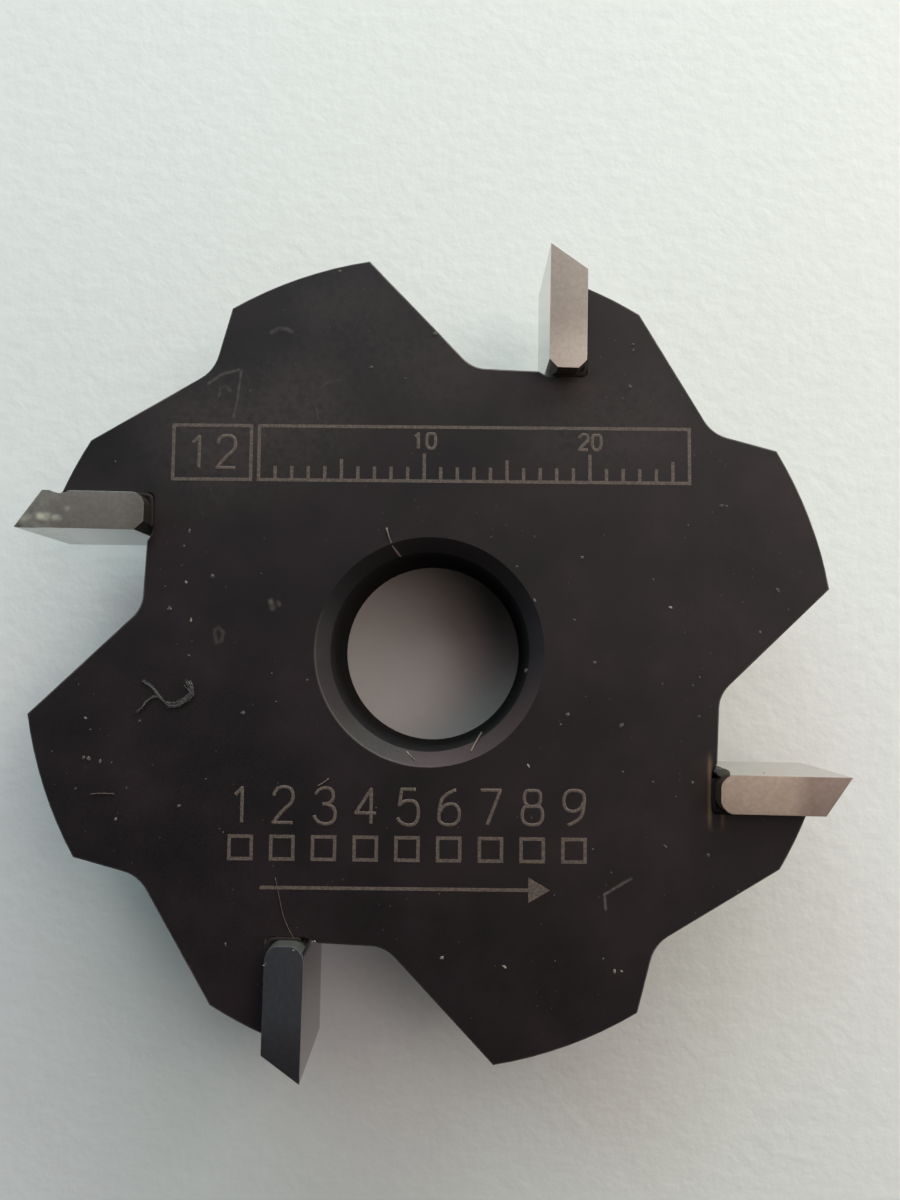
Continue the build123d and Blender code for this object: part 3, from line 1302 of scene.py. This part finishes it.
@dataclass(frozen=True)
class EtchedMarks:
    """Plain marks that a laser etched in the marked face.

    Above the bore is a panel of two cells: the bore's size and a 26 mm rule. Below the
    bore, nine numbered boxes are there to be ticked when the cutter is reground, and an
    arrow under them shows which way it turns.
    """

    finish: SpeckledMatt
    stroke_mm: float = 0.2
    stroke_rise_mm: float = 0.012
    proud_mm: float = 0.006
    sunk_mm: float = 0.01
    turn_deg: float = 0.55
    digit_width: float = 0.6
    digit_pitch: float = 0.88
    rule_middle_mm: Point = (2.55, 11.9)
    rule_length_mm: int = 26
    rule_height_mm: float = 3.5
    cell_width_mm: float = 4.9
    cell_gap_mm: float = 0.28
    cell_numeral: str = "12"
    cell_numeral_mm: float = 1.9
    tick_rises_mm: Triple = (0.75, 0.45, 0.4)
    tick_pitches_mm: tuple[int, int, int] = (1, 5, 10)
    rule_numeral_mm: float = 0.9
    rule_numeral_rise_mm: float = 0.78
    box_count: int = 9
    box_pitch_mm: float = 2.45
    box_side_mm: float = 1.5
    numeral_mm: float = 2.0
    numerals_middle_mm: Point = (-1.2, -9.15)
    boxes_middle_mm: Point = (-1.2, -11.6)
    arrow_middle_mm: Point = (-1.3, -13.9)
    arrow_length_mm: float = 17.0
    arrow_head_mm: float = 1.7
    arrow_head_depth: float = 0.75

    def bar(self, left: float, low: float, width: float, height: float) -> Piece:
        """Adds one straight stroke.

        Args:
            left: its left end, in millimetres.
            low: its lower side.
            width: its size along X.
            height: its size along Y.

        Returns:
            The stroke, flat.
        """
        middle = ((left + width / 2) * MM, (low + height / 2) * MM, 0.0)
        stroke = add_primitive("plane", size=MM, location=middle)
        stroke.scale = (width, height, 1.0)
        bpy.ops.object.transform_apply(location=True, rotation=True, scale=True)
        return stroke

    def hollow(self, shape: Piece) -> Piece:
        """Leaves one stroke's width of a flat shape, along its rim.

        Args:
            shape: the flat shape.

        Returns:
            The same object, now a frame.
        """
        select_only(shape)
        with edit_mode():
            bpy.ops.mesh.select_mode(type="FACE")
            bpy.ops.mesh.select_all(action="SELECT")
            bpy.ops.mesh.inset(thickness=self.stroke_mm * MM)
            bpy.ops.mesh.delete(type="FACE")
        return shape

    def in_row(self, stroke: Piece, count: int, pitch_mm: float) -> Piece:
        """Repeats a flat shape along X.

        Args:
            stroke: the first of the row.
            count: how many the row has.
            pitch_mm: from each to the next.

        Returns:
            The same object, now the whole row.
        """
        apply_modifier(
            stroke, "ARRAY", count=count, use_relative_offset=False, use_constant_offset=True,
            constant_offset_displace=(pitch_mm * MM, 0.0, 0.0),
        )
        return stroke

    def numeral(self, text: str, middle: Point, height_mm: float) -> Piece:
        """Adds a number.

        Args:
            text: its digits.
            middle: where its middle lies, in millimetres.
            height_mm: how tall it is.

        Returns:
            The number, of closed flattened strokes.
        """
        width = (len(text) - 1) * self.digit_pitch + self.digit_width
        left, low = middle[0] - width / 2 * height_mm, middle[1] - height_mm / 2
        strokes = []
        for i, digit in enumerate(text):
            start = i * self.digit_pitch
            for points in DIGIT_STROKES[digit]:
                places = [
                    Vector((left + (x + start) * height_mm, low + y * height_mm, 0.0)) * MM
                    for x, y in points
                ]
                strokes.append(tube(places, self.stroke_mm, 2))
        digits = join(strokes, "numeral")
        with edit_mode():
            bpy.ops.transform.resize(value=(1.0, 1.0, 2 * self.stroke_rise_mm / self.stroke_mm))
        return digits

    def rule(self) -> list[Piece]:
        """Adds the panel: a frame with ticks along its foot, and a small cell beside it.

        Returns:
            Its flat shapes.
        """
        left = self.rule_middle_mm[0] - self.rule_length_mm / 2 - self.stroke_mm / 2
        low = self.rule_middle_mm[1] - self.rule_height_mm / 2
        cell_left = left - self.cell_gap_mm - self.cell_width_mm
        shapes = [
            self.hollow(self.bar(left, low, self.rule_length_mm + self.stroke_mm, self.rule_height_mm)),
            self.hollow(self.bar(cell_left, low, self.cell_width_mm, self.rule_height_mm)),
        ]
        foot = low + self.stroke_mm
        for rise, pitch in zip(self.tick_rises_mm, self.tick_pitches_mm):
            tick = self.bar(left + pitch, foot, self.stroke_mm, rise)
            shapes.append(self.in_row(tick, (self.rule_length_mm - 1) // pitch, pitch))
            foot += rise
        return shapes

    def boxes(self) -> list[Piece]:
        """Adds the numbered boxes.

        Returns:
            Their flat shapes.
        """
        first = -(self.box_count - 1) / 2 * self.box_pitch_mm
        side = self.box_side_mm
        box = self.hollow(self.bar(
            self.boxes_middle_mm[0] + first - side / 2, self.boxes_middle_mm[1] - side / 2, side, side
        ))
        return [self.in_row(box, self.box_count, self.box_pitch_mm)]

    def numerals(self) -> list[Piece]:
        """Adds the numbers of the panel and of the boxes.

        Returns:
            The numbers.
        """
        frame_left = self.rule_middle_mm[0] - (self.rule_length_mm + self.stroke_mm) / 2
        cell_middle = (frame_left - self.cell_gap_mm - self.cell_width_mm / 2, self.rule_middle_mm[1])
        numerals = [self.numeral(self.cell_numeral, cell_middle, self.cell_numeral_mm)]
        longest = self.tick_pitches_mm[-1]
        for mark in range(longest, self.rule_length_mm, longest):
            across = self.rule_middle_mm[0] - self.rule_length_mm / 2 + mark
            middle = (across, self.rule_middle_mm[1] + self.rule_numeral_rise_mm)
            numerals.append(self.numeral(str(mark), middle, self.rule_numeral_mm))
        for i in range(self.box_count):
            across = self.numerals_middle_mm[0] + (i - (self.box_count - 1) / 2) * self.box_pitch_mm
            numerals.append(
                self.numeral(str(i + 1), (across, self.numerals_middle_mm[1]), self.numeral_mm)
            )
        return numerals

    def arrow(self) -> list[Piece]:
        """Adds the arrow that shows which way the cutter turns.

        Returns:
            Its flat shapes.
        """
        left = self.arrow_middle_mm[0] - self.arrow_length_mm / 2
        shaft_length = self.arrow_length_mm - self.arrow_head_depth * self.arrow_head_mm
        shaft = self.bar(
            left, self.arrow_middle_mm[1] - self.stroke_mm / 2, shaft_length, self.stroke_mm
        )
        radius = self.arrow_head_mm / 2
        head = add_primitive(
            "circle", vertices=3, radius=radius * MM, fill_type="NGON",
            location=((left + self.arrow_length_mm - radius) * MM, self.arrow_middle_mm[1] * MM, 0.0),
            rotation=(0.0, 0.0, -math.pi / 2),
        )
        return [shaft, head]

    def build(self) -> Piece:
        """Builds all marks as one thin piece on the marked face.

        Returns:
            The piece.
        """
        lines = join([*self.rule(), *self.boxes(), *self.arrow()], "lines")
        with edit_mode():
            bpy.ops.mesh.remove_doubles(threshold=MERGE_WITHIN_MM * MM)
        lines.location.z = self.proud_mm * MM
        apply_modifier(
            lines, "SOLIDIFY", thickness=(self.proud_mm + self.sunk_mm) * MM, offset=-1.0
        )
        piece = join([lines, *self.numerals()], "etched_marks")
        piece.location.z = MARKED_FACE * MM
        piece.rotation_euler.z = math.radians(self.turn_deg)
        bpy.ops.object.transform_apply(location=True, rotation=True, scale=True)
        return mount_on_cutter(piece, "black_steel", self.finish.material())


@dataclass(frozen=True)
class Strand:
    """One loose strand, by the pixels of the photograph that it passes."""

    pixels: tuple[Point, ...]
    hairs: int = 1
    spread_mm: float = 0.0


@dataclass(frozen=True)
class LooseFibres:
    """Hairs and lint that lie on the marked face."""

    name: str
    finish: SpeckledMatt
    strands: tuple[Strand, ...]
    hair_mm: float = 0.07
    rise_mm: float = 0.1

    def hair(self, strand: Strand, camera: PhotoCamera, dice: random.Random) -> Piece:
        """Adds one hair of a strand.

        Args:
            strand: the strand that it belongs to.
            camera: gives the places of the pixels.
            dice: seeded random numbers.

        Returns:
            The hair as a closed mesh.
        """
        points = []
        for pixel in strand.pixels:
            drift = Vector((
                dice.uniform(-0.5, 0.5) * strand.spread_mm,
                dice.uniform(-0.5, 0.5) * strand.spread_mm,
                self.hair_mm / 2 + dice.uniform(0.0, self.rise_mm),
            ))
            points.append((camera.on_top(pixel) + drift) * MM)
        return tube(points, self.hair_mm)

    def build(self, camera: PhotoCamera) -> Piece:
        """Builds all strands as one piece.

        Args:
            camera: gives the places of the pixels.

        Returns:
            The piece.
        """
        dice = random.Random(self.name)
        hairs = [
            self.hair(strand, camera, dice) for strand in self.strands for _ in range(strand.hairs)
        ]
        piece = join(hairs, self.name)
        bpy.ops.object.shade_smooth()
        return mount_on_cutter(piece, "black_steel", self.finish.material())


@dataclass(frozen=True)
class Grains:
    """Grains of dust, chips and resin that lie on the cutter, by their pixels, and pale grains as
    painted glints.
    """

    name: str
    finish: SpeckledMatt
    pixels: tuple[Point, ...]
    size_mm: float
    height_mm: float | None = None
    scattered: int = 0
    scatter_radii_mm: Point = (7.3, 16.6)
    flatness: float = 0.5
    roughness_mm: float = 0.16
    sizes: Point = (0.7, 1.3)
    lengths: Point = (0.8, 1.5)

    def lump(self) -> Piece:
        """Models one rough grain of one millimetre.

        Returns:
            The grain, at the origin.
        """
        lump = add_primitive("ico_sphere", subdivisions=2, radius=MM / 2)
        with edit_mode():
            bpy.ops.transform.vertex_random(offset=self.roughness_mm * MM, seed=5)
        return lump

    def places(self, camera: PhotoCamera, dice: random.Random) -> list[Vector]:
        """Finds where the grains lie, the scattered ones last.

        Args:
            camera: gives the places of the pixels.
            dice: seeded random numbers.

        Returns:
            The places in millimetres.
        """
        if self.height_mm is None:
            places = [camera.on_top(pixel) for pixel in self.pixels]
        else:
            places = [camera.on_plane(pixel, self.height_mm) for pixel in self.pixels]
        inner, outer = self.scatter_radii_mm
        for _ in range(self.scattered):
            radius = math.sqrt(dice.uniform(inner ** 2, outer ** 2))
            angle = dice.uniform(0.0, math.tau)
            places.append(Vector((radius * math.cos(angle), radius * math.sin(angle), MARKED_FACE)))
        return places

    def build(self, camera: PhotoCamera) -> Piece:
        """Builds all grains as one piece.

        Args:
            camera: gives the places of the pixels.

        Returns:
            The piece.
        """
        dice = random.Random(self.name)
        pattern = self.lump()
        grains = []
        for place in self.places(camera, dice):
            grain = copy_of(pattern)
            size = self.size_mm * dice.uniform(*self.sizes)
            long = dice.uniform(*self.lengths)
            grain.location = place * MM
            grain.rotation_euler.z = dice.uniform(0.0, math.tau)
            grain.scale = (size * long, size / long, size * self.flatness)
            grains.append(grain)
        bpy.data.objects.remove(pattern)
        piece = join(grains, self.name)
        return mount_on_cutter(piece, "black_steel", self.finish.material())


def litter() -> list[LooseFibres | Grains]:
    """Lists the lint, hairs and grains that the photograph shows on the cutter.

    Returns:
        The pieces, not yet built.
    """
    lint = SpeckledMatt("cotton_lint", "#565451", "#3C3B39", 0.2, 0.95)
    hair = SpeckledMatt("pale_hair", "#8C7E74", "#665A52", 0.3, 0.6)
    fine_hair = SpeckledMatt("brown_hair", "#5A4B41", "#42362F", 0.3, 0.6)
    pale_dust = SpeckledMatt("pale_wood_dust", "#8F897F", "#5F5A53", 0.1, 0.9)
    grey_dust = SpeckledMatt("grey_dust", "#5A5752", "#413E3B", 0.1, 0.9)
    spatter_and_glints = SpeckledMatt("solder_spatter", "#8E8C86", "#5F5D58", 0.1, 0.5)
    return [
        LooseFibres(
            "lint_curl", lint,
            (
                Strand(
                    ((143, 680.6), (151.7, 686), (158.6, 695), (167, 703.6), (170.8, 704.3)), 7, 0.18
                ),
                Strand(
                    ((136.4, 712), (142.5, 707.4), (146.3, 700.5), (153.2, 696.7), (158.6, 695)), 7, 0.18
                ),
                Strand(
                    (
                        (167, 703.6), (170.8, 704.3), (179.3, 702.8), (187.7, 697.4), (192.3, 690.5),
                        (187.7, 682.9),
                    ),
                    20, 0.46,
                ),
            ),
            hair_mm=0.036,
        ),
        LooseFibres(
            "loose_hairs", hair,
            (
                Strand(((386.2, 528.0), (389.0, 539.0), (392.5, 546.7), (400.0, 555.8)), 3, 0.08),
                Strand(((405.8, 750.5), (410.0, 754.5), (413.7, 759.5)), 3, 0.08),
                Strand(((480.8, 731.7), (476.7, 739.0), (470.0, 750.8)), 3, 0.08),
                Strand(((328.4, 777.8), (322.5, 782.5), (317, 785.5))),
            ),
            hair_mm=0.05,
        ),
        LooseFibres(
            "fine_hair", fine_hair,
            (
                Strand(((275, 877), (279, 898), (284, 922), (295, 941))),
                Strand(((90, 793), (101, 792), (114, 793)), 2, 0.08),
            ),
            hair_mm=0.04,
        ),
        Grains(
            "pale_grains", pale_dust,
            (
                (85, 717.5), (115, 818.5), (528, 765.5), (670, 607), (185.6, 581.7), (190.4, 619.6),
                (441.5, 957.3), (504, 966.5), (614, 970.8), (621, 970.8),
            ),
            0.17,
        ),
        Grains(
            "grey_grains", grey_dust,
            (
                (139, 720.7), (188.5, 655), (242.5, 712.5), (178.5, 805.5), (83, 757), (88, 758),
                (99.5, 761), (306.5, 679.5), (516.5, 566), (534, 600), (525.5, 670), (632.4, 344),
                (632.6, 350), (629.3, 386), (777.3, 589.8), (759.6, 631.8), (692, 782), (189, 530.4),
                (212, 575.6), (169, 608.5), (721, 505.3), (726, 505.6), (370.7, 366.8), (404.8, 378),
                (664.9, 846), (707.5, 854.6), (225, 944), (581.5, 557), (594, 662), (567, 714),
                (621, 725), (339.2, 270.8), (434.4, 333.2),
            ),
            0.2,
        ),
        Grains(
            "faint_grains", grey_dust,
            (
                (90, 729), (111, 762), (51.5, 751), (126, 787), (75, 788), (78, 684), (614.8, 340),
                (605.6, 397), (622, 398), (788, 609), (675.4, 796), (115, 461), (250, 390), (602.7, 958),
                (554.7, 960.7), (610.7, 872), (592.5, 848.7), (687.7, 524.7), (737.3, 890.8),
            ),
            0.1,
            scattered=30,
        ),
        # Pale grains for bright points by the fourth tooth's gullet and on the tips' edges: partly
        # solder spatter and residue, partly painted glints
        Grains("solder_spatter", spatter_and_glints, ((311.7, 941.5), (314.5, 941.0)), 0.13),
        Grains(
            "tip_specks", spatter_and_glints, ((292.7, 950), (263.3, 965), (763.4, 772.4)), 0.11, TIP_TOP - 0.1
        ),
    ]


def main() -> None:
    """Builds the studio, dresses the cutter and reports each piece."""
    logging.basicConfig(level=logging.INFO, format="%(name)s: %(message)s")
    Studio().build()
    camera = PhotoCamera()
    camera.build()

    skin = BlackOxide().material(camera)
    solder = SilverSolder().material()
    for name, node in frame["nodes"].items():
        node.data.materials.clear()
        node.data.materials.append(skin if name == "cutter_body" else solder)

    # One carbide: the tips' colours differ as painted reflection, warm on tip one, bluish on tip four
    for tip in (
        CarbideTip(
            1, InnerCorners.ROUNDED,
            GroundCarbide(
                1, "#B7B5A8", "#95918A", "#C4C0B8", 20.6, 22.3, sintered_colour="#685B54", streaks=0.18
            ),
        ),
        CarbideTip(
            2, InnerCorners.CHAMFERED,
            GroundCarbide(
                2, "#BAB5AB", "#9C978E", "#B8B3B1", sintered_colour="#5E504A", sintered_facing=0.8
            ),
        ),
        CarbideTip(
            3, InnerCorners.BACK_ROUNDED,
            GroundCarbide(
                3, "#9D9E95", "#B2B2A7", "#9E9893", 16.6, 18.6, resin=0.68, resin_colour="#64635A",
                sintered_colour="#45413D",
                pale_stains=(
                    Rub(((38.8, 515.0), (45.5, 515.6)), 0.27, 1.0),
                    Rub(((52.0, 516.5), (57.5, 517.2)), 0.24, 0.6),
                    Rub(((65.0, 507.0), (66.0, 507.5)), 0.22, 0.4),
                    Rub(((22.0, 518.5), (27.0, 516.5)), 0.26, 0.45),
                ),
                dark_stains=(
                    Rub(((18.0, 525.5), (36.0, 530.0)), 0.42, 1.0),
                    Rub(((38.0, 500.0), (31.0, 511.0), (27.0, 521.0)), 0.3, 0.55),
                    Rub(((44.0, 493.0), (58.0, 495.0)), 0.2, 0.3),
                ),
            ),
            chipped=True,
        ),
        CarbideTip(
            4, InnerCorners.ROUNDED,
            GroundCarbide(
                4, "#BAC0CB", "#9C9CA7", "#8E8482", 20.5, 23.5, sintered_colour="#73766F"
            ),
        ),
    ):
        tip.build(camera)
    SolderBeads().build(solder)
    SolderBeads().corner_fill(
        SilverSolder("clean_solder", "#403E38", "#403E38", "#4C4A43", roughness=0.75).material()
    )
    EtchedMarks(SpeckledMatt("etched_steel", "#63564C", "#443A34", 0.12, 0.7)).build()
    for piece in litter():
        piece.build(camera)


if __name__ == "__main__":
    main()
